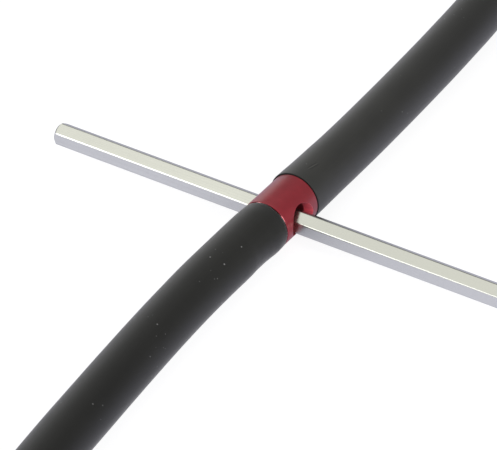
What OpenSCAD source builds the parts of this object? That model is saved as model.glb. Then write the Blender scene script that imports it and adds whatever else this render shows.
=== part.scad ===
// Screw-in connector that joins two rubber-covered cables end to end.
// The turned body shows between the cut ends of the cables. A coarse threaded
// spigot on each side of it is screwed into the middle of a cable, right-hand
// on one side and left-hand on the other, so that turning the body draws both
// cables in. A hexagonal bar lies in the cross hole and turns the body.
// X runs along the bar, Y along the body and Z up. The origin is the middle of
// the body, and the cables lie on a flat surface below it.

/* [Body] */
// Diameter of the turned body
body_d = 19.5; // [18:0.1:24]
// Length of the body between the two cable ends
body_len = 20.5; // [18:0.5:30]
// Chamfer on both rims of the body
rim_chamfer = 0.4; // [0.2:0.1:1.2]

/* [Cross hole] */
// Diameter of the hole across the body
hole_d = 11; // [10:0.1:12]
// Width of the countersunk edge of the hole, on each side of it
hole_edge = 1.25; // [0.3:0.05:1.5]
// Depth of the countersunk edge of the hole
hole_edge_depth = 3.2; // [0.5:0.1:4]

/* [Threaded spigots] */
// Length of each spigot beyond the body
spigot_len = 26; // [18:0.5:30]
// Diameter of a spigot's core
core_d = 8; // [6:0.1:9]
// Diameter of the plain neck beside the body
neck_d = 7.2; // [5:0.1:8]
// Length of the plain neck
neck_len = 2; // [1:0.1:4]
// Length of the tapered tip
tip_len = 4; // [2:0.1:6]
// Diameter of the tip's flat end
tip_d = 4.4; // [2:0.1:6]
// Distance from one turn of the thread to the next
thread_pitch = 3.5; // [3:0.1:5]
// Height of the thread above the core
thread_h = 1.4; // [0.6:0.1:2]
// Width of the thread where it meets the core
thread_root_w = 2; // [1.2:0.1:2.6]
// Width of the thread's crest
thread_crest_w = 0.5; // [0.3:0.1:1]

/* [Hexagonal bar] */
// Width across the flats of the bar
bar_af = 8; // [6:0.1:8.5]
// Length of the bar
bar_len = 191; // [80:1:300]
// Radius of the bar's long edges
bar_edge_r = 0.8; // [0.3:0.1:1.2]
// Chamfer of the bar's ends, measured at the flats
bar_end_chamfer = 0.5; // [0.2:0.1:1]
// Turn of the bar about its own axis in degrees
bar_turn = 2; // [0:0.5:15]
// Clearance between the bar and the hole that it lies in
bar_clear = 0.05; // [0.02:0.01:0.3]

/* [Cables] */
// Diameter of both cables
cable_d = 19.5; // [18:0.1:24]
// Clearance round a spigot inside the cable
socket_clear = 0.3; // [0.1:0.05:0.5]

/* [Hidden] */
$fn = 96;

anodised_red = [0.49, 0.17, 0.2];
black_rubber = [0.2, 0.2, 0.19];
bright_steel = [0.8, 0.8, 0.77];

// How far a cut runs past the surface that it goes through
past = 1;
// How deep the thread's foot lies inside the core
thread_foot = 0.4;
// Straight pieces in one turn of the thread
thread_steps = 16;
// Share of a turn over which the thread rises from the core at each end
thread_rise = 0.75;
// Straight pieces in each rounded long edge of the bar
edge_steps = 5;
// Flat sides of a cable, with one of them underneath
cable_sides = 12;

body_r = body_d / 2;
body_end = body_len / 2;
hole_r = hole_d / 2;
spigot_end = body_end + spigot_len;

// Route of each cable in plan: sideways place, and distance from the middle of
// the body beyond the joint. The first point is at the body's end face.
route_a = [[0, 25], [0.1, 40], [0.4, 55], [1.1, 70], [2.1, 85], [3.3, 100], [4.6, 115],
           [6, 130], [7.4, 145], [9, 160], [10.8, 175]];
route_b = [[0, 25], [-0.1, 40], [-0.3, 55], [-0.7, 70], [-1.2, 85], [-1.8, 100], [-2.5, 115],
           [-3.4, 130], [-4.4, 145], [-5.8, 160], [-7.5, 175]];

// Half outline of the turned blank, as radius and distance from the middle
function half_blank() = [
    [body_r, body_end - rim_chamfer],
    [body_r - rim_chamfer, body_end],
    [neck_d / 2, body_end],
    [neck_d / 2, body_end + neck_len],
    [core_d / 2, body_end + neck_len + (core_d - neck_d) / 2],
    [core_d / 2, spigot_end - tip_len],
    [tip_d / 2, spigot_end],
    [0, spigot_end]
];

// Body and both spigot cores, turned from one bar
module turned_blank() {
    half = half_blank();
    last = len(half) - 1;
    rotate([-90, 0, 0])
        rotate_extrude()
            polygon(concat(half, [for (i = [0 : last]) [half[last - i][0], -half[last - i][1]]]));
}

// Section of the thread at step i, as points on its two sides
function thread_section(i, count, start) =
    let (
        turn = 360 * i / thread_steps,
        rise = min(1, min(i, count - i) / (thread_rise * thread_steps)),
        foot = core_d / 2 - thread_foot,
        crest = foot + (thread_h + thread_foot) * rise,
        along = start + thread_pitch * i / thread_steps,
        outline = [
            [foot, along - thread_root_w / 2],
            [foot, along + thread_root_w / 2],
            [crest, along + thread_crest_w / 2],
            [crest, along - thread_crest_w / 2]
        ]
    )
    [for (p = outline) [p[0] * cos(turn), p[0] * sin(turn), p[1]]];

// Skin over a row of rings that each have the same number of points
function ring_faces(rings, sides) = concat(
    [[for (k = [0 : sides - 1]) k]],
    [for (i = [0 : rings - 2], k = [0 : sides - 1])
        [i * sides + k, (i + 1) * sides + k,
         (i + 1) * sides + (k + 1) % sides, i * sides + (k + 1) % sides]],
    [[for (k = [0 : sides - 1]) rings * sides - 1 - k]]
);

// Right-hand thread round the core, from the neck to the tip
module thread() {
    start = body_end + neck_len + thread_root_w / 2;
    run = spigot_end - tip_len - thread_root_w / 2 - start;
    count = floor(run / thread_pitch * thread_steps);
    sections = [for (i = [0 : count]) thread_section(i, count, start)];
    polyhedron(
        points = [for (s = sections, p = s) p],
        faces = ring_faces(count + 1, 4),
        convexity = 10
    );
}

// Hole across the body for the bar, with both of its edges countersunk
module cross_hole() {
    rotate([0, 90, 0])
        cylinder(r = hole_r, h = body_d + 2 * past, center = true);
    mouth_r = hole_r + hole_edge * (1 + past / hole_edge_depth);
    for (side = [0, 180])
        rotate([0, 90, side])
            translate([0, 0, body_r - hole_edge_depth])
                cylinder(r1 = hole_r, r2 = mouth_r, h = hole_edge_depth + past);
}

module connector() {
    color(anodised_red)
        difference() {
            union() {
                turned_blank();
                rotate([-90, 0, 0]) thread();
                mirror([0, 1, 0]) rotate([-90, 0, 0]) thread();
            }
            cross_hole();
        }
}

// Centre of the rounding of a long edge, measured from the bar's axis
edge_centre = bar_af / sqrt(3) - bar_edge_r / cos(30);
// Direction of the flat that two touching edges belong to, turned with the bar
seat_angle = 240 - bar_turn;
// Distance from the hole's axis to the bar's, with both edges on the wall
seat_drop = sqrt(pow(hole_r - bar_clear - bar_edge_r, 2) - pow(edge_centre * sin(30), 2))
    - edge_centre * cos(30);

// Hexagon with rounded corners
module bar_section() {
    polygon([
        for (k = [0 : 5], j = [0 : edge_steps])
            let (corner = 30 + 60 * k, arc = corner - 30 + 60 * j / edge_steps)
            edge_centre * [cos(corner), sin(corner)] + bar_edge_r * [cos(arc), sin(arc)]
    ]);
}

// Turned envelope that chamfers both ends of the bar
module bar_envelope() {
    half = bar_len / 2;
    flat_r = bar_af / 2 - bar_end_chamfer;
    full_r = bar_af / 2 + past;
    slope = full_r - flat_r;
    rotate_extrude()
        polygon([[0, -half], [flat_r, -half], [full_r, slope - half],
                 [full_r, half - slope], [flat_r, half], [0, half]]);
}

module hex_bar() {
    color(bright_steel)
        translate([0, seat_drop * cos(seat_angle), seat_drop * sin(seat_angle)])
            rotate([90, 0, 90])
                intersection() {
                    rotate([0, 0, -bar_turn])
                        linear_extrude(height = bar_len, center = true)
                            bar_section();
                    bar_envelope();
                }
}

// Direction of a route at one of its points, straight out of the body at first
function heading(route, i) =
    let (
        ahead = route[min(i + 1, len(route) - 1)],
        behind = route[max(i - 1, 0)],
        along = ahead - behind
    )
    i == 0 ? [0, 1] : along / norm(along);

// Ring of points square to the route, with a flat side underneath
function ring(centre, dir, r) = [
    for (k = [0 : cable_sides - 1])
        let (a = (k + 0.5) * 360 / cable_sides, corner_r = r / cos(180 / cable_sides))
        [centre[0] + dir[1] * corner_r * cos(a), centre[1] - dir[0] * corner_r * cos(a),
         corner_r * sin(a)]
];

// Cable along a route, with a socket at the joint for the threaded spigot
module cable(beyond) {
    route = concat([[0, body_end]], beyond);
    last = len(route) - 1;
    socket_r = core_d / 2 + thread_h + socket_clear;
    socket_end = spigot_end + socket_clear;
    outside = [for (i = [0 : last]) ring(route[last - i], heading(route, last - i), cable_d / 2)];
    socket = [for (y = [body_end, socket_end]) ring([0, y], [0, 1], socket_r)];
    rings = concat(outside, socket);
    polyhedron(
        points = [for (r = rings, p = r) p],
        faces = ring_faces(len(rings), cable_sides),
        convexity = 4
    );
}

module cable_a() {
    color(black_rubber) mirror([0, 1, 0]) cable(route_a);
}

module cable_b() {
    color(black_rubber) cable(route_b);
}

connector();
cable_a();
cable_b();
hex_bar();
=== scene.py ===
"""Cable pulling connector with its two cables and its hexagonal bar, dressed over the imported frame."""
import math
from contextlib import contextmanager

import bmesh
import bpy
from bpy.props import FloatProperty, FloatVectorProperty, IntProperty, PointerProperty
from mathutils import Matrix, Vector


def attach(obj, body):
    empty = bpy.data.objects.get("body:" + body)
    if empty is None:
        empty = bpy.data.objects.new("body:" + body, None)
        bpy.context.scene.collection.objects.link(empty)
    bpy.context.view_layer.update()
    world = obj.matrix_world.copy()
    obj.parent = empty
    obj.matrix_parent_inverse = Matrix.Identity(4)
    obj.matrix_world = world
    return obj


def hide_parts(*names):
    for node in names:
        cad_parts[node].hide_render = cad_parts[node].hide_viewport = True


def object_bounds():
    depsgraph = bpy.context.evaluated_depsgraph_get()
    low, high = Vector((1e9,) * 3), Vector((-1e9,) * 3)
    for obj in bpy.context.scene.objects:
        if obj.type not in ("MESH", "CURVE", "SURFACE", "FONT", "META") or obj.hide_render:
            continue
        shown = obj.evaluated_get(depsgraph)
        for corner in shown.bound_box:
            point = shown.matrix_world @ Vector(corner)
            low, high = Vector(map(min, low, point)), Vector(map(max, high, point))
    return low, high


bl_info = {
    "name": "Cable pulling connector",
    "version": (1, 0, 0),
    "blender": (4, 5, 0),
    "location": "3D View > Sidebar > Cable connector",
    "description": "Builds the turned connector, its cables, its hexagonal bar and a plain studio",
    "category": "Object",
}

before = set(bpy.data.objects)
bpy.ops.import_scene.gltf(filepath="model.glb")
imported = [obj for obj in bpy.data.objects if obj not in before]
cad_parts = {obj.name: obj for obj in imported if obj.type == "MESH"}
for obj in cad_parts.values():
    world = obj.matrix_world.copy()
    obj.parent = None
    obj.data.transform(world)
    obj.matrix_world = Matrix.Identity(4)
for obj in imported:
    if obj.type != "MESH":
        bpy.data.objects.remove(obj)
cad_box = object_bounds()

FULL_TURN = 2 * math.pi
BODY = "root"
FLOOR_Z = cad_box[0].z

# Lengths of the spigots' necks, tips and threads that a user wouldn't change, in metres
NECK_R = 0.0036
NECK_LENGTH = 0.002
TIP_R = 0.0022
TIP_LENGTH = 0.004
THREAD_FOOT = 0.0004
THREAD_ROOT_W = 0.002
THREAD_CREST_W = 0.0005
SOCKET_CLEARANCE = 0.0003
# Straight pieces in one turn of a thread, and where it starts round the spigot, in radians.
# With these no corner of it meets a facet of the blank, so that both join cleanly.
THREAD_STEPS = 31
THREAD_START = 0.017
# Share of a turn over which a thread rises at each end, and its height there to begin with
THREAD_RISE = 0.75
THREAD_LOWEST = 0.1

# How far a cutting tool runs past the surface that it goes through
PAST = 0.001
# Length of a cable beside the joint that runs straight out of the body
STRAIGHT = 0.012
# Rings of a cable's skin over its rounded cut end, and past it where the sheath swells
CORNER_RINGS = 6
SWOLLEN_RINGS = 39
SWOLLEN_STEP = 0.0008
# Distance from one point to the next on the smooth curve through a swelling
SWELL_STEP = 0.0004
# Turned roundings of the bar's end face: radius past the chamfer's foot, and depth
BAR_END_ROUNDING = [(-0.00012, 0.0), (0.00002, 0.00005), (0.0001, 0.00014)]
# Softened meeting of the bar's chamfer and its flats: how deep and how long
BAR_MEETING_DEPTH = 0.00008
BAR_MEETING_LENGTH = 0.0002
# Scraped line on cable_b: its start on the UV map, its turn and its length
GRAZE = ((0.02904, 0.0055, 0), math.radians(100.5), 0.006)

# Routes of the cables in plan, in metres: sideways place, and distance from the
# middle of the body. The first point of each is at the body's end face.
ROUTE_A = [
    (0.0, 0.01025), (0.0, 0.025), (0.0001, 0.04), (0.0004, 0.055), (0.0011, 0.07),
    (0.0021, 0.085), (0.0033, 0.1), (0.0046, 0.115), (0.006, 0.13), (0.0074, 0.145),
    (0.009, 0.16), (0.0108, 0.175),
]
ROUTE_B = [
    (0.0, 0.01025), (0.0, 0.025), (-0.0001, 0.04), (-0.0003, 0.055), (-0.0007, 0.07),
    (-0.0012, 0.085), (-0.0018, 0.1), (-0.0025, 0.115), (-0.0034, 0.13), (-0.0044, 0.145),
    (-0.0058, 0.16), (-0.0075, 0.175),
]

# Swelling of each cable over the spigot that is screwed into it, in metres: distance
# from the joint, and how far the sheath stands out there on its -X and its +X side.
SWELL_A = [
    (0.0, 0.0, 0.0001), (0.004, 0.00015, 0.00026), (0.006, 0.00023, 0.00018),
    (0.0082, 0.00027, -0.00001), (0.0105, 0.00029, -0.00014), (0.0126, 0.00029, -0.00022),
    (0.0169, 0.00027, -0.00022), (0.019, 0.00025, -0.00014), (0.0212, 0.00022, -0.00002),
    (0.0255, 0.00018, 0.00003), (0.03, 0.00017, 0.0), (0.04, 0.00015, 0.0),
    (0.048, 0.00008, 0.0), (0.056, 0.0, 0.0),
]
SWELL_B = [
    (0.0, 0.00058, 0.00022), (0.004, 0.0005, 0.00015), (0.009, 0.00037, 0.00008),
    (0.015, 0.00027, 0.00002), (0.022, 0.0002, -0.00003), (0.027, 0.00008, 0.0),
    (0.032, 0.0, 0.0),
]


class TurnedBodySettings(bpy.types.PropertyGroup):
    """Sizes of the turned connector."""

    diameter: FloatProperty(
        name="Body diameter", description="Diameter of the turned body",
        default=0.0195, min=0.01, unit="LENGTH", precision=5)
    length: FloatProperty(
        name="Body length", description="Length of the body between the two cable ends",
        default=0.0205, min=0.01, unit="LENGTH", precision=5)
    rim_chamfer: FloatProperty(
        name="Rim chamfer", description="Chamfer on both rims of the body",
        default=0.0004, min=0.0001, unit="LENGTH", precision=5)
    edge_round: FloatProperty(
        name="Edge rounding", description="Rounding of the rims and of the hole's edge",
        default=0.00012, min=0.00002, unit="LENGTH", precision=5)
    hole_diameter: FloatProperty(
        name="Hole diameter", description="Diameter of the hole across the body",
        default=0.011, min=0.002, unit="LENGTH", precision=5)
    hole_edge: FloatProperty(
        name="Hole countersink", description="Width of the countersunk edge of the hole",
        default=0.00125, min=0.0001, unit="LENGTH", precision=5)
    hole_edge_depth: FloatProperty(
        name="Countersink depth", description="Depth of the countersunk edge of the hole",
        default=0.0032, min=0.0001, unit="LENGTH", precision=5)
    spigot_length: FloatProperty(
        name="Spigot length", description="Length of each threaded spigot beyond the body",
        default=0.026, min=0.005, unit="LENGTH", precision=5)
    core_diameter: FloatProperty(
        name="Spigot core", description="Diameter of a spigot's core",
        default=0.008, min=0.002, unit="LENGTH", precision=5)
    thread_pitch: FloatProperty(
        name="Thread pitch", description="Distance from one turn of the thread to the next",
        default=0.0035, min=0.001, unit="LENGTH", precision=5)
    thread_height: FloatProperty(
        name="Thread height", description="Height of the thread above the core",
        default=0.0014, min=0.0003, unit="LENGTH", precision=5)
    facets: IntProperty(
        name="Facets", description="Straight pieces in one turn of the body",
        default=144, min=24, max=512)
    colour: FloatVectorProperty(
        name="Anodised colour", description="Colour of the anodised metal",
        subtype="COLOR", size=3, min=0, max=1, default=(0.211, 0.011, 0.019))


class CableSettings(bpy.types.PropertyGroup):
    """Sizes of the two cables."""

    diameter: FloatProperty(
        name="Cable diameter", description="Diameter of both cables",
        default=0.0195, min=0.005, unit="LENGTH", precision=5)
    swelling: FloatProperty(
        name="Swelling", description="How much the screwed-in spigots swell the ends, 0 for not at all",
        default=1, min=0, max=2)
    edge_round_a: FloatProperty(
        name="End rounding of cable_a", description="Rounding of its outer edge at the joint",
        default=0.0004, min=0.0001, unit="LENGTH", precision=5)
    edge_round_b: FloatProperty(
        name="End rounding of cable_b", description="Rounding of its outer edge at the joint",
        default=0.00018, min=0.0001, unit="LENGTH", precision=5)
    gap_a: FloatProperty(
        name="Gap at cable_a", description="Gap between its cut end and the turned body",
        default=0.0003, min=0, max=0.001, unit="LENGTH", precision=5)
    sides: IntProperty(
        name="Sides", description="Straight pieces round a cable",
        default=96, min=12, max=256)
    step: FloatProperty(
        name="Ring spacing", description="Distance from one ring of the cable's skin to the next",
        default=0.0025, min=0.0005, unit="LENGTH", precision=5)
    colour: FloatVectorProperty(
        name="Rubber colour", description="Colour of the rubber sheath",
        subtype="COLOR", size=3, min=0, max=1, default=(0.018, 0.018, 0.016))


class BarSettings(bpy.types.PropertyGroup):
    """Sizes of the hexagonal bar."""

    across_flats: FloatProperty(
        name="Across flats", description="Width across the flats of the bar",
        default=0.008, min=0.002, unit="LENGTH", precision=5)
    length: FloatProperty(
        name="Bar length", description="Length of the bar",
        default=0.191, min=0.02, unit="LENGTH", precision=5)
    edge_radius: FloatProperty(
        name="Edge radius", description="Radius of the bar's edges",
        default=0.0008, min=0.0001, unit="LENGTH", precision=5)
    end_chamfer: FloatProperty(
        name="End chamfer", description="Turned chamfer of the bar's ends, measured at the flats",
        default=0.0005, min=0.0001, unit="LENGTH", precision=5)
    turn: FloatProperty(
        name="Turn", description="Turn of the bar about its own axis",
        default=math.radians(2), subtype="ANGLE")
    clearance: FloatProperty(
        name="Clearance", description="Clearance between the bar and the hole that it lies in",
        default=0.00005, min=0, unit="LENGTH", precision=5)
    colour: FloatVectorProperty(
        name="Steel colour", description="Colour of the drawn steel",
        subtype="COLOR", size=3, min=0, max=1, default=(0.67, 0.675, 0.62))


class StudioSettings(bpy.types.PropertyGroup):
    """Camera, lamps and floor."""

    camera_place: FloatVectorProperty(
        name="Camera place", description="Where the camera stands",
        subtype="TRANSLATION", unit="LENGTH", size=3, default=(0.626152, -1.005911, 0.854962))
    camera_aim: FloatVectorProperty(
        name="Camera direction", description="Direction that the camera looks in",
        subtype="DIRECTION", size=3, default=(-0.4340496, 0.68271889, -0.58778896))
    lens: FloatProperty(
        name="Lens", description="Focal length, in millimetres on a sensor 36 mm wide",
        default=295.74, min=10)
    world_level: FloatProperty(
        name="Room light", description="Strength of the even light from the room",
        default=0.35, min=0, max=5)
    floor_colour: FloatVectorProperty(
        name="Floor colour", description="Colour of the floor",
        subtype="COLOR", size=3, min=0, max=1, default=(0.88, 0.88, 0.93))


class ConnectorSettings(bpy.types.PropertyGroup):
    """Everything that a user would change."""

    body: PointerProperty(type=TurnedBodySettings, name="Body", description="Turned connector")
    cable: PointerProperty(type=CableSettings, name="Cables", description="Both cables")
    bar: PointerProperty(type=BarSettings, name="Bar", description="Hexagonal bar")
    studio: PointerProperty(type=StudioSettings, name="Studio", description="Camera, lamps and floor")


class Shade:
    """A value in a material's nodes. Arithmetic on it adds Math nodes."""

    def __init__(self, paint, socket):
        self.paint = paint
        self.socket = socket

    def _maths(self, operation, *values):
        return self.paint.node("Math", {"operation": operation}, dict(enumerate(values)))

    def __add__(self, other):
        return self._maths("ADD", self, other)

    def __radd__(self, other):
        return self._maths("ADD", other, self)

    def __sub__(self, other):
        return self._maths("SUBTRACT", self, other)

    def __rsub__(self, other):
        return self._maths("SUBTRACT", other, self)

    def __mul__(self, other):
        return self._maths("MULTIPLY", self, other)

    def __rmul__(self, other):
        return self._maths("MULTIPLY", other, self)

    def __pow__(self, other):
        return self._maths("POWER", self, other)


class Paint:
    """Node tree of one material or of the world."""

    def __init__(self, owner):
        owner.use_nodes = True
        self.tree = owner.node_tree
        self.tree.nodes.clear()

    def node(self, kind, settings=None, values=None, output=0):
        """Adds a shader node, sets it up, fills its sockets and returns one of its outputs."""
        made = self.tree.nodes.new("ShaderNode" + kind)
        for name, setting in (settings or {}).items():
            if name == "stops":
                ramp = made.color_ramp.elements
                while len(ramp) < len(setting):
                    ramp.new(1)
                for stop, (place, colour) in zip(ramp, setting):
                    stop.position = place
                    stop.color = colour
            else:
                setattr(made, name, setting)
        for name, value in (values or {}).items():
            if isinstance(value, Shade):
                self.tree.links.new(value.socket, made.inputs[name])
            else:
                made.inputs[name].default_value = value
        return Shade(self, made.outputs[output])

    def coordinates(self, kind="Object", scale=(1, 1, 1), location=(0, 0, 0)):
        """Object or UV coordinates, scaled and shifted."""
        source = self.node("TexCoord", output=kind)
        return self.node("Mapping", values={"Vector": source, "Scale": scale, "Location": location})

    def noise(self, vector, scale, detail=2.0, roughness=0.5):
        """Noise from 0 to 1."""
        values = {"Vector": vector, "Scale": scale, "Detail": detail, "Roughness": roughness}
        return self.node("TexNoise", values=values)

    def spread(self, value, low, high, to_low=0.0, to_high=1.0):
        """Stretches a range of values over another and stops at its ends."""
        values = {"Value": value, "From Min": low, "From Max": high, "To Min": to_low, "To Max": to_high}
        return self.node("MapRange", {"clamp": True}, values)

    def blend(self, share, first, second):
        """Mix of two colours."""
        settings = {"data_type": "RGBA", "blend_type": "MIX"}
        return self.node("Mix", settings, {"Factor": share, 6: first, 7: second}, output=2)

    def bump(self, height, distance, strength=1.0):
        """Normal of a surface that a height lifts."""
        return self.node("Bump", values={"Height": height, "Distance": distance, "Strength": strength})

    def surface(self, shader, target="OutputMaterial"):
        """Ends the tree with a shader."""
        end = self.tree.nodes.new("ShaderNode" + target)
        self.tree.links.new(shader.socket, end.inputs["Surface"])


def opaque(colour):
    """Colour with full alpha, as sockets take it."""
    return (*colour, 1.0)


def tinted(colour, factor):
    """Colour made lighter or darker."""
    return opaque(min(1.0, channel * factor) for channel in colour)


def anodised_metal(s):
    """Turned metal under a clear dyed oxide layer, with a painted highlight on the wall of the hole's
    mouths and painted shade in its bore. The rims shine more, and have a painted shadow where they meet
    the cables."""
    colour = s.colour
    body_r, hole_r = s.diameter / 2, s.hole_diameter / 2
    rim = s.length / 2 - s.rim_chamfer
    slope = s.hole_edge / s.hole_edge_depth
    mouth = hole_r - (body_r - s.hole_edge_depth) * slope
    material = bpy.data.materials.new("anodised_metal")
    paint = Paint(material)
    place = paint.coordinates()
    cloud = paint.noise(place, 220, 3)
    turning = paint.noise(paint.coordinates(scale=(1, 60, 1)), 90, 2)
    scuffs = paint.noise(paint.coordinates(scale=(0.25, 1, 1)), 2600, 2)
    scuff = paint.spread(scuffs, 0.66, 0.78)
    base = paint.blend(paint.spread(cloud, 0.35, 0.7), tinted(colour, 0.93), tinted(colour, 1.1))
    base = paint.blend(scuff * 0.35, base, tinted(colour, 1.8))
    x, y, z = (paint.node("SeparateXYZ", values={"Vector": place}, output=axis) for axis in "XYZ")
    from_axis = (y * y + z * z) ** 0.5
    from_middle = (y * y) ** 0.5
    flare = (x * x) ** 0.5 * slope + mouth
    in_mouth = paint.spread(from_axis - flare, 0.00004, 0.0001, 1, 0)
    in_bore = paint.spread(from_axis, hole_r - 0.00004, hole_r + 0.00006, 1, 0)
    outside = paint.spread((x * x + z * z) ** 0.5, body_r - 0.00115, body_r - 0.00095)
    at_rim = outside * paint.spread(from_middle, rim - 0.00004, rim + 0.00002)
    # Painted shadow: the inner part of each rim's chamfer is painted black, standing in for the shaded
    # gap where it meets a cable, wider on the +Y side
    foot = paint.spread(y, -0.001, 0.001, rim + 0.00017, rim + 0.00002)
    painted_rim_shadow = paint.spread(from_middle - foot, 0, 0.00004)
    streaks = paint.noise(paint.coordinates(scale=(0.1, 0.1, 1)), 900, 2)
    # Painted light in the hole's mouth: its wall is painted bright red, brightest on its +Y side, with
    # painted shade from the bar towards its lower part, mixed with turning streaks
    low = paint.spread(z, 0.0007, 0.0028, 1, 0) * 0.6 + paint.spread(streaks, 0.4, 0.6) * 0.4
    lit = paint.blend(low, (0.3, 0.045, 0.06, 1), (0.95, 0.11, 0.15, 1))
    base = paint.blend(in_mouth * paint.spread(y, 0, 0.0035, 0.2, 1), base, lit)
    # Painted shade: the bore is painted nearly black, standing in for the shade deep inside the hole
    base = paint.blend(in_bore, base, (0.02, 0.006, 0.006, 1))
    base = paint.blend(at_rim * painted_rim_shadow, base, (0.012, 0.001, 0.002, 1))
    shader = paint.node("BsdfPrincipled", values={
        "Base Color": base,
        "Metallic": 0.15 + at_rim * 0.3,
        "Roughness": 0.38 + (cloud - 0.5) * 0.12 + scuff * 0.12 - at_rim * 0.2,
        "Normal": paint.bump(turning, 0.00001, 0.35),
        "Coat Weight": 0.15,
        "Coat Roughness": 0.25,
    })
    paint.surface(shader)
    return material


def rubber_sheath(name, colour, painted_light_share, dustless, graze):
    """Matte extruded rubber with faint draw lines and specks of dust, with painted shade at its cut end
    and far off, and a painted light share that makes one cable a darker copy of the other.
    A graze, if there is one, is a fine scraped line with a painted shadow beside it, given by its place
    on the UV map, turn and length."""
    material = bpy.data.materials.new(name)
    paint = Paint(material)
    place = paint.coordinates()
    lengthwise = paint.coordinates("UV", scale=(60, 1, 1))
    draw = paint.noise(lengthwise, 28, 3)
    grain = paint.noise(place, 5200, 2)
    cloud = paint.noise(place, 70, 3)
    dust = paint.node(
        "TexVoronoi", {"voronoi_dimensions": "2D", "feature": "F1"},
        {"Vector": paint.coordinates("UV"), "Scale": 210}, output="Distance")
    clusters = paint.noise(place, 75, 1)
    reach = dust - paint.noise(place, 240, 0) * 0.11
    sheath = paint.node("TexCoord", output="UV")
    along = paint.node("SeparateXYZ", values={"Vector": sheath}, output="Y")
    wiped = clusters - paint.spread(along, 0.015, 0.045, 0.12, 0)
    speck = paint.spread(reach, -0.03, 0.0, 1, 0) * paint.spread(wiped, dustless, dustless + 0.03)
    dark, light = tinted(colour, 0.9 * painted_light_share), tinted(colour, 1.15 * painted_light_share)
    base = paint.blend(paint.spread(cloud, 0.3, 0.7), dark, light)
    base = paint.blend(paint.spread(draw, 0.45, 0.75) * 0.25, base, tinted(colour, 1.6 * painted_light_share))
    base = paint.blend(speck * 0.7, base, (0.3, 0.3, 0.3, 1))
    # Painted shade: the sheath is painted darker far off from the joint, standing in for weaker light
    # there
    base = paint.blend(paint.spread(along, 0.02, 0.12, 0, 0.6), base, tinted(colour, 0.3 * painted_light_share))
    # Painted shade: the cut end's face is painted nearly black, standing in for the shade in the groove
    # at the joint
    base = paint.blend(paint.spread(along, 0.00001, 0.00012, 1, 0), base, tinted(colour, 0.15))
    if graze:
        start, turn, length = graze
        local = paint.node("Mapping", {"vector_type": "TEXTURE"}, {
            "Vector": sheath, "Location": start, "Rotation": (0, 0, turn)})
        onward = paint.node("SeparateXYZ", values={"Vector": local}, output="X")
        aside = paint.node("SeparateXYZ", values={"Vector": local}, output="Y")
        aside = (aside * aside) ** 0.5
        scraped = paint.spread(onward, 0, 0.0012) * paint.spread(onward, length - 0.001, length, 1, 0)
        # The scraped line itself is lighter rubber. Beside it a painted shadow darkens the sheath
        painted_graze_shadow = scraped * paint.spread(aside, 0.0004, 0.0009, 0.8, 0)
        line = scraped * paint.spread(aside, 0.00012, 0.0003, 0.7, 0)
        base = paint.blend(painted_graze_shadow, base, tinted(colour, 0.1))
        base = paint.blend(line, base, tinted(colour, 3.6))
    height = grain * 0.6 + draw * 0.4
    shader = paint.node("BsdfPrincipled", values={
        "Base Color": base,
        "Roughness": 0.52 + (cloud - 0.5) * 0.1 + (grain - 0.5) * 0.1,
        "Normal": paint.bump(height, 0.00002, 0.5),
        "Specular IOR Level": 0.4 * painted_light_share,
        "Sheen Weight": 0.62 - 0.2 * painted_light_share,
        "Sheen Roughness": 0.35,
    })
    paint.surface(shader)
    return material


def drawn_steel(colour):
    """Bright drawn steel with lengthwise lines, a few cross marks and painted shade on its +X half."""
    material = bpy.data.materials.new("drawn_steel")
    paint = Paint(material)
    lines = paint.noise(paint.coordinates(scale=(0.12, 40, 40)), 110, 4)
    marks = paint.noise(paint.coordinates(scale=(1, 0.35, 0.35)), 900, 2)
    cloud = paint.noise(paint.coordinates(), 60, 3)
    mark = paint.spread(marks, 0.6, 0.75)
    base = paint.blend(paint.spread(lines, 0.35, 0.7), tinted(colour, 0.94), tinted(colour, 1.04))
    base = paint.blend(mark * 0.3, base, tinted(colour, 0.88))
    # Painted shade: the bar is painted darker on the +X side of the connector, standing in for weaker
    # light there
    along = paint.node("SeparateXYZ", values={"Vector": paint.coordinates()}, output="X")
    base = paint.blend(paint.spread(along, -0.02, 0.02), base, tinted(colour, 0.85))
    shader = paint.node("BsdfPrincipled", values={
        "Base Color": base,
        "Metallic": 1.0,
        "Specular Tint": (0.62, 0.62, 0.62, 1),
        "Roughness": 0.24 + (lines - 0.5) * 0.14 + (cloud - 0.5) * 0.08,
        "Normal": paint.bump(lines, 0.000004, 0.25),
    })
    paint.surface(shader)
    return material


def studio_floor(colour):
    """Pale floor. The camera sees it near white, with the object's soft shadow; reflections see a
    painted glow on it, bluish and brighter towards +X.
    """
    material = bpy.data.materials.new("studio_floor")
    paint = Paint(material)
    plain = paint.node("BsdfDiffuse", values={"Color": opaque(colour)})
    faint = paint.node("BsdfDiffuse", values={"Color": tinted(colour, 0.25)})
    white = paint.node("Emission", values={"Color": (1, 1, 1, 1), "Strength": 0.87})
    # Painted reflection: glossy rays see the floor glow bluish, more strongly towards +X, though it is
    # no lamp
    bluish = (0.83, 0.83, 1, 1)
    across = paint.node("SeparateXYZ", values={"Vector": paint.coordinates()}, output="X")
    glow = paint.node("MixShader", values={
        0: paint.spread(across, -0.1, 0.09),
        1: paint.node("Emission", values={"Color": bluish, "Strength": 0.38}),
        2: paint.node("Emission", values={"Color": bluish, "Strength": 0.58}),
    })
    painted_reflection = paint.node("AddShader", values={
        0: paint.node("BsdfDiffuse", values={"Color": (0.45, 0.45, 0.54, 1)}),
        1: glow,
    })
    looking = paint.node("LightPath", output="Is Camera Ray")
    mirrored = paint.node("LightPath", output="Is Glossy Ray")
    seen = paint.node("AddShader", values={0: faint, 1: white})
    lit = paint.node("MixShader", values={0: mirrored, 1: plain, 2: painted_reflection})
    paint.surface(paint.node("MixShader", values={0: looking, 1: lit, 2: seen}))
    return material


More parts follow.
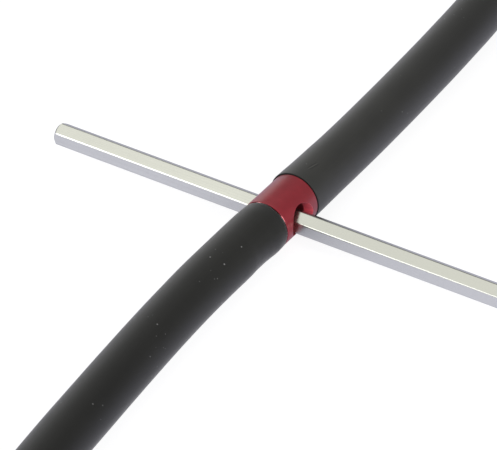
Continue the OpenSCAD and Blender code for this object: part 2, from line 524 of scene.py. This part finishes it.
@contextmanager
def new_mesh(name):
    """A bmesh for a with block, and in the end the mesh made from it."""
    bm = bmesh.new()
    mesh = bpy.data.meshes.new(name)
    yield bm, mesh
    bm.to_mesh(mesh)
    bm.free()


def add_object(name, mesh):
    """Puts a mesh in the scene as an object at the origin."""
    made = bpy.data.objects.new(name, mesh)
    bpy.context.scene.collection.objects.link(made)
    return made


def finish_piece(piece, material, slot, *nodes):
    """Gives a piece its material and its body, and hides the CAD nodes that it stands for."""
    piece.data.materials.clear()
    piece.data.materials.append(material)
    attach(piece, BODY)
    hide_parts(*nodes)


def spin_profile(bm, points, axis, steps):
    """Turns an open outline, whose ends lie on the axis, into a closed solid."""
    verts = [bm.verts.new(point) for point in points]
    edges = [bm.edges.new(pair) for pair in zip(verts, verts[1:])]
    bmesh.ops.spin(
        bm, geom=verts + edges, cent=(0, 0, 0), axis=axis, dvec=(0, 0, 0),
        angle=FULL_TURN, steps=steps, use_merge=True, use_duplicate=False)
    bmesh.ops.remove_doubles(bm, verts=bm.verts, dist=1e-7)
    bmesh.ops.recalc_face_normals(bm, faces=bm.faces)


def cut(piece, tool, operation):
    """Joins a tool to a piece, or takes it away, and removes the tool."""
    modifier = piece.modifiers.new(operation.lower(), "BOOLEAN")
    modifier.object = tool
    modifier.operation = operation
    modifier.solver = "EXACT"
    before = piece.data
    shape = piece.evaluated_get(bpy.context.evaluated_depsgraph_get())
    piece.data = bpy.data.meshes.new_from_object(shape)
    piece.modifiers.clear()
    if not piece.data.vertices:
        raise RuntimeError("nothing is left of " + piece.name)
    piece.data.name = before.name + "_cut"
    bpy.data.meshes.remove(before)
    bpy.data.objects.remove(tool)


def smooth_faces(piece, sharp_above):
    """Shades a piece smooth, apart from edges sharper than an angle in degrees."""
    piece.data.polygons.foreach_set("use_smooth", [True] * len(piece.data.polygons))
    piece.data.set_sharp_from_angle(angle=math.radians(sharp_above))


def turned_blank(s):
    """Body and both spigot cores, turned from one bar, with softly rounded rims."""
    body_r, body_end = s.diameter / 2, s.length / 2
    core_r = s.core_diameter / 2
    neck_end, spigot_end = body_end + NECK_LENGTH, body_end + s.spigot_length
    half = [
        (body_r, body_end - s.rim_chamfer), (body_r - s.rim_chamfer, body_end), (NECK_R, body_end),
        (NECK_R, neck_end), (core_r, neck_end + core_r - NECK_R), (core_r, spigot_end - TIP_LENGTH),
        (TIP_R, spigot_end), (0, spigot_end),
    ]
    outline = [(r, -y, 0) for r, y in reversed(half)] + [(r, y, 0) for r, y in half]
    with new_mesh("connector") as (bm, mesh):
        spin_profile(bm, outline, (0, 1, 0), s.facets)
        rims = [e for e in bm.edges if all(
            math.hypot(v.co.x, v.co.z) > body_r - s.rim_chamfer - 1e-5 for v in e.verts)
            and abs(e.verts[0].co.y - e.verts[1].co.y) < 1e-7]
        bmesh.ops.bevel(
            bm, geom=rims, offset=s.edge_round, offset_type="OFFSET", affect="EDGES",
            segments=3, profile=0.5, material=-1, clamp_overlap=True)
    return add_object("connector_turned", mesh)


def thread(s, hand):
    """Thread round one spigot: right-hand on +Y with hand 1, left-hand on -Y with hand -1."""
    foot = s.core_diameter / 2 - THREAD_FOOT
    crest = s.core_diameter / 2 + s.thread_height
    start = s.length / 2 + NECK_LENGTH + THREAD_ROOT_W / 2
    turns = (s.spigot_length - NECK_LENGTH - TIP_LENGTH - THREAD_ROOT_W) / s.thread_pitch
    steps = round(turns * THREAD_STEPS)
    section = [
        (foot, -THREAD_ROOT_W / 2), (foot, THREAD_ROOT_W / 2),
        (crest, THREAD_CREST_W / 2), (crest, -THREAD_CREST_W / 2),
    ]
    with new_mesh("thread") as (bm, mesh):
        face = bm.faces.new([bm.verts.new((r, start + y, 0)) for r, y in section])
        bmesh.ops.rotate(
            bm, cent=(0, 0, 0), matrix=Matrix.Rotation(THREAD_START, 3, "Y"), verts=bm.verts)
        bmesh.ops.spin(
            bm, geom=[*face.verts, *face.edges, face], cent=(0, 0, 0), axis=(0, 1, 0),
            dvec=(0, turns * s.thread_pitch / steps, 0), angle=FULL_TURN * turns, steps=steps,
            use_merge=False, use_duplicate=False)
        for v in bm.verts:
            r = math.hypot(v.co.x, v.co.z)
            if r > (foot + crest) / 2:
                passed = (v.co.y - start) / s.thread_pitch
                height = min(1.0, passed / THREAD_RISE, (turns - passed) / THREAD_RISE)
                scale = (foot + (crest - foot) * max(THREAD_LOWEST, height)) / r
                v.co.x *= scale
                v.co.z *= scale
        if hand < 0:
            bmesh.ops.transform(bm, matrix=Matrix.Diagonal((1, -1, 1, 1)), verts=bm.verts)
        bmesh.ops.recalc_face_normals(bm, faces=bm.faces)
    return add_object("thread", mesh)


def cross_hole(s):
    """Tool for the hole across the body, with both of its edges countersunk."""
    body_r, hole_r = s.diameter / 2, s.hole_diameter / 2
    wide = hole_r + s.hole_edge * (1 + PAST / s.hole_edge_depth)
    half = [(body_r - s.hole_edge_depth, hole_r), (body_r + PAST, wide), (body_r + PAST, 0)]
    outline = [(-x, r, 0) for x, r in reversed(half)] + [(x, r, 0) for x, r in half]
    with new_mesh("cross_hole") as (bm, mesh):
        spin_profile(bm, outline, (1, 0, 0), s.facets)
    return add_object("cross_hole", mesh)


def smooth_line(points, step):
    """Points close together on one smooth curve through a route."""
    line = [Vector(points[0])]
    for i in range(len(points) - 1):
        p0, p1, p2, p3 = (Vector(points[max(0, min(len(points) - 1, i + k))]) for k in (-1, 0, 1, 2))
        parts = max(1, round((p2 - p1).length / step))
        for j in range(1, parts + 1):
            t = j / parts
            line.append(0.5 * (
                2 * p1 + (p2 - p0) * t + (2 * p0 - 5 * p1 + 4 * p2 - p3) * t * t
                + (3 * p1 - p0 - 3 * p2 + p3) * t ** 3))
    return line


def swell_at(swell, along):
    """How far a cable stands out on its -X and +X sides, at a distance from the joint."""
    for near, far in zip(swell, swell[1:]):
        if near.x <= along < far.x:
            return near.lerp(far, (along - near.x) / (far.x - near.x)).yz
    return Vector((0.0, 0.0))


def cable_skin(s, name, route, swell, gap, edge_round, socket_r, socket_length):
    """Closed skin of one cable, from its far end to its cut end at the joint, then into the socket."""
    line = smooth_line([(x, y, 0) for x, y in route], s.step)
    swell = smooth_line(swell, SWELL_STEP)
    away = 1 if route[0][1] > 0 else -1
    lengths = [0.0]
    for a, b in zip(line, line[1:]):
        lengths.append(lengths[-1] + (b - a).length)
    joint = line[0].y
    rings = []

    def station(along):
        last = len(line) - 1
        i = max(1, next((k for k, d in enumerate(lengths) if d >= along), last))
        part = (along - lengths[i - 1]) / (lengths[i] - lengths[i - 1])
        ahead = line[min(i + 1, last)] - line[max(i - 2, 0)]
        heading = Vector((0, away, 0)) if along < STRAIGHT else ahead.normalized()
        return line[i - 1].lerp(line[i], part), heading

    def ring(centre, heading, r, stands_out=(0.0, 0.0)):
        side = Vector((heading.y, -heading.x, 0)) * away
        left, right = stands_out
        points = []
        for k in range(s.sides):
            a = FULL_TURN * (k / s.sides) - math.pi / 2
            reach = r + (left + right) / 2 + (right - left) / 2 * math.cos(a)
            p = centre + side * (reach * math.cos(a)) + Vector((0, 0, reach * math.sin(a)))
            p.z = max(p.z, FLOOR_Z)
            points.append(p)
        return points

    corner = [math.pi / 2 * k / CORNER_RINGS for k in range(CORNER_RINGS + 1)]
    near = [gap + edge_round * (1 - math.cos(angle)) for angle in corner]
    near += [gap + edge_round + SWOLLEN_STEP * k for k in range(1, SWOLLEN_RINGS + 1)]
    marks = near + [d for d in lengths if d > near[-1] + s.step / 2]
    for along in reversed(marks):
        inward = max(0.0, gap + edge_round - along)
        r = s.diameter / 2 - edge_round + math.sqrt(edge_round ** 2 - inward ** 2)
        rings.append((*station(along), r, swell_at(swell, along) * s.swelling))
    for y in (gap, socket_length):
        rings.append((Vector((0, joint + away * y, 0)), Vector((0, away, 0)), socket_r))
    with new_mesh(name) as (bm, mesh):
        uv = bm.loops.layers.uv.new("lengthwise")
        loops = [[bm.verts.new(p) for p in ring(*r)] for r in rings]
        where = [along - gap for along in reversed(marks)] + [0, -socket_length]
        for i in range(len(loops) - 1):
            for k in range(s.sides):
                n = (k + 1) % s.sides
                face = bm.faces.new((loops[i][k], loops[i][n], loops[i + 1][n], loops[i + 1][k]))
                places = ((k, i), (k + 1, i), (k + 1, i + 1), (k, i + 1))
                for corner_loop, (u, v) in zip(face.loops, places):
                    corner_loop[uv].uv = (u / s.sides * math.pi * s.diameter, where[v])
        bm.faces.new(loops[0])
        bm.faces.new(loops[-1])
        bmesh.ops.recalc_face_normals(bm, faces=bm.faces)
    return add_object(name, mesh), line, lengths[-1]


def hexagonal_bar(s):
    """Hexagonal bar with rounded edges and turned ends, lying on two of its edges in the cross hole."""
    hole_r = bpy.context.scene.cable_connector.body.hole_diameter / 2
    edge_centre = s.across_flats / math.sqrt(3) - s.edge_radius / math.cos(math.radians(30))
    half_side = edge_centre * math.sin(math.radians(30))
    seat = math.radians(240) - s.turn
    reach = hole_r - s.clearance - s.edge_radius
    drop = math.sqrt(reach ** 2 - half_side ** 2) - edge_centre * math.cos(math.radians(30))
    place = (
        Matrix.Translation((0, drop * math.cos(seat), drop * math.sin(seat)))
        @ Matrix.Rotation(-s.turn, 4, "X")
        @ Matrix.Rotation(math.pi / 2, 4, "Y")
        @ Matrix.Rotation(math.pi / 6, 4, "Z")
        @ Matrix.Translation((0, 0, -s.length / 2))
    )
    end_r = s.across_flats / 2 - s.end_chamfer
    turned_end = [(end_r + r, depth) for r, depth in BAR_END_ROUNDING]
    with new_mesh("hexagonal_bar") as (bm, mesh):
        bmesh.ops.create_circle(bm, cap_ends=True, segments=6, radius=s.across_flats / math.sqrt(3))
        bmesh.ops.bevel(
            bm, geom=bm.verts[:], offset=s.edge_radius * math.tan(math.radians(30)),
            offset_type="OFFSET", affect="VERTICES", segments=6, profile=0.5, material=-1,
            clamp_overlap=True)
        flats = [e for e in bm.edges if e.calc_length() > s.edge_radius]
        bmesh.ops.subdivide_edges(bm, edges=flats, cuts=13)
        # Rings 1 m apart, which the next loop then pulls in and moves to their places
        top = bm.faces[:]
        last = 2 * len(turned_end) + 3
        for ring in range(last):
            grown = bmesh.ops.extrude_face_region(bm, geom=top)
            if ring:
                bmesh.ops.delete(bm, geom=top, context="FACES_ONLY")
            top = [g for g in grown["geom"] if isinstance(g, bmesh.types.BMFace)]
            bmesh.ops.translate(bm, vec=(0, 0, 1), verts=top[0].verts)
        for v in bm.verts:
            ring = round(v.co.z)
            full_r = math.hypot(v.co.x, v.co.y)
            foot_r = full_r - BAR_MEETING_DEPTH
            chamfer_end = foot_r - turned_end[-1][0] + turned_end[-1][1]
            meeting = [(foot_r, chamfer_end), (full_r, chamfer_end + BAR_MEETING_LENGTH)]
            r, depth = (turned_end + meeting)[min(ring, last - ring)]
            z = depth if ring < last / 2 else s.length - depth
            v.co = (v.co.x * r / full_r, v.co.y * r / full_r, z)
        bmesh.ops.recalc_face_normals(bm, faces=bm.faces)
        bmesh.ops.transform(bm, matrix=place, verts=bm.verts)
    bar = add_object("hexagonal_bar", mesh)
    smooth_faces(bar, 35)
    weighted = bar.modifiers.new("flat_sides", "WEIGHTED_NORMAL")
    weighted.mode = "FACE_AREA"
    weighted.weight = 100
    weighted.keep_sharp = True
    return bar


class CONNECTOR_OT_camera(bpy.types.Operator):
    """Sets up the camera that the object was first seen from"""

    bl_idname = "cable_connector.camera"
    bl_label = "Camera"

    def execute(self, context):
        s = context.scene.cable_connector.studio
        camera = bpy.data.objects.new("camera", bpy.data.cameras.new("camera"))
        context.scene.collection.objects.link(camera)
        camera.data.sensor_width = 36
        camera.data.lens = s.lens
        camera.data.clip_start, camera.data.clip_end = 0.05, 20
        camera.location = s.camera_place
        camera.rotation_mode = "QUATERNION"
        camera.rotation_quaternion = Vector(s.camera_aim).to_track_quat("-Z", "Y")
        context.scene.camera = camera
        return {"FINISHED"}


class CONNECTOR_OT_cables(bpy.types.Operator):
    """Makes the two rubber-covered cables"""

    bl_idname = "cable_connector.cables"
    bl_label = "Cables"

    def execute(self, context):
        s, body = context.scene.cable_connector.cable, context.scene.cable_connector.body
        socket_r = body.core_diameter / 2 + body.thread_height + SOCKET_CLEARANCE
        socket_length = body.spigot_length + SOCKET_CLEARANCE
        for name, route, away, swell, gap, edge_round, painted_light_share, dustless, graze in (
            # Each cable's painted light share scales its copy of the rubber: cable_a is painted darker
            # than cable_b as painted shade, though both are the same rubber
            ("cable_a", ROUTE_A, -1, SWELL_A, s.gap_a, s.edge_round_a, 0.58, 0.6, None),
            ("cable_b", ROUTE_B, 1, SWELL_B, 0.0, s.edge_round_b, 1.0, 0.63, GRAZE),
        ):
            skin, line, length = cable_skin(
                s, name + "_sheath", [(x, away * y) for x, y in route], swell, gap, edge_round, socket_r,
                socket_length)
            smooth_faces(skin, 40)
            rubber = rubber_sheath(name + "_rubber", s.colour, painted_light_share, dustless, graze)
            finish_piece(skin, rubber, "cable", name)
        return {"FINISHED"}


class CONNECTOR_OT_turned_body(bpy.types.Operator):
    """Makes the turned connector with its threaded spigots and its cross hole"""

    bl_idname = "cable_connector.turned_body"
    bl_label = "Turned connector"

    def execute(self, context):
        s = context.scene.cable_connector.body
        piece = turned_blank(s)
        cut(piece, thread(s, 1), "UNION")
        cut(piece, thread(s, -1), "UNION")
        cut(piece, cross_hole(s), "DIFFERENCE")
        smooth_faces(piece, 30)
        finish_piece(piece, anodised_metal(s), "connector", "connector")
        return {"FINISHED"}


class CONNECTOR_OT_bar(bpy.types.Operator):
    """Makes the hexagonal bar that lies in the cross hole"""

    bl_idname = "cable_connector.bar"
    bl_label = "Hexagonal bar"

    def execute(self, context):
        s = context.scene.cable_connector.bar
        finish_piece(hexagonal_bar(s), drawn_steel(s.colour), "bar", "hex_bar")
        return {"FINISHED"}


class CONNECTOR_OT_studio(bpy.types.Operator):
    """Sets up the floor, the lamps and the room light"""

    bl_idname = "cable_connector.studio"
    bl_label = "Studio"

    LAMPS = (
        ("lamp_overhead", (-0.25, 0.0, 1.3), (1.6, 1.4), 0.8, (1.0, 1.0, 0.94)),
        ("lamp_left_front", (-0.62, -0.85, 0.45), (0.7, 0.85), 2.6, (1.0, 1.0, 1.0)),
        ("lamp_left", (-0.75, -0.5, 0.5), (0.25, 0.25), 9.0, (1.0, 1.0, 1.0)),
        ("lamp_key", (0.82, -0.88, 0.3), (0.24, 0.5), 14.0, (1.0, 1.0, 1.0)),
        ("lamp_right", (1.05, -0.35, 0.5), (0.6, 0.6), 6.2, (1.0, 1.0, 1.0)),
        ("lamp_left_back", (-1.05, 0.75, 0.4), (0.6, 0.7), 1.15, (1.0, 1.0, 1.0)),
    )

    def execute(self, context):
        s = context.scene.cable_connector.studio
        with new_mesh("floor") as (bm, mesh):
            bmesh.ops.create_grid(bm, x_segments=1, y_segments=1, size=4)
            bmesh.ops.translate(bm, vec=(0, 0, FLOOR_Z), verts=bm.verts)
        floor = add_object("floor", mesh)
        mesh.materials.append(studio_floor(s.floor_colour))
        for name, place, size, level, colour in self.LAMPS:
            lamp = bpy.data.lights.new(name, "AREA")
            lamp.shape = "RECTANGLE"
            lamp.size, lamp.size_y = size
            lamp.energy = level * size[0] * size[1] * math.pi
            lamp.color = colour
            made = bpy.data.objects.new(name, lamp)
            made.location = place
            made.rotation_mode = "QUATERNION"
            made.rotation_quaternion = (-Vector(place)).to_track_quat("-Z", "Y")
            context.scene.collection.objects.link(made)
        world = bpy.data.worlds.new("room")
        context.scene.world = world
        paint = Paint(world)
        looking = paint.node("LightPath", output="Is Camera Ray")
        level = s.world_level + looking * (1 - s.world_level)
        paint.surface(
            paint.node("Background", values={"Color": (1, 1, 1, 1), "Strength": level}), "OutputWorld")
        context.scene.view_settings.view_transform = "Standard"
        return {"FINISHED"}


class CONNECTOR_PT_sidebar(bpy.types.Panel):
    """Sizes of the connector and a button for each piece"""

    bl_idname = "CONNECTOR_PT_sidebar"
    bl_label = "Cable pulling connector"
    bl_space_type = "VIEW_3D"
    bl_region_type = "UI"
    bl_category = "Cable connector"

    def draw(self, context):
        settings = context.scene.cable_connector
        for group in (settings.body, settings.cable, settings.bar, settings.studio):
            column = self.layout.column(align=True)
            for name in group.__annotations__:
                column.prop(group, name)
        for operator in OPERATORS:
            self.layout.operator(operator.bl_idname)


OPERATORS = (
    CONNECTOR_OT_camera, CONNECTOR_OT_cables, CONNECTOR_OT_turned_body,
    CONNECTOR_OT_bar, CONNECTOR_OT_studio,
)
CLASSES = (
    TurnedBodySettings, CableSettings, BarSettings, StudioSettings, ConnectorSettings,
    *OPERATORS, CONNECTOR_PT_sidebar,
)


def register():
    for cls in CLASSES:
        bpy.utils.register_class(cls)
    bpy.types.Scene.cable_connector = PointerProperty(type=ConnectorSettings)


def unregister():
    del bpy.types.Scene.cable_connector
    for cls in reversed(CLASSES):
        bpy.utils.unregister_class(cls)


def main():
    """Builds everything in order."""
    register()
    bpy.ops.cable_connector.camera()
    bpy.ops.cable_connector.cables()
    bpy.ops.cable_connector.turned_body()
    bpy.ops.cable_connector.bar()
    bpy.ops.cable_connector.studio()


if __name__ == "__main__":
    main()
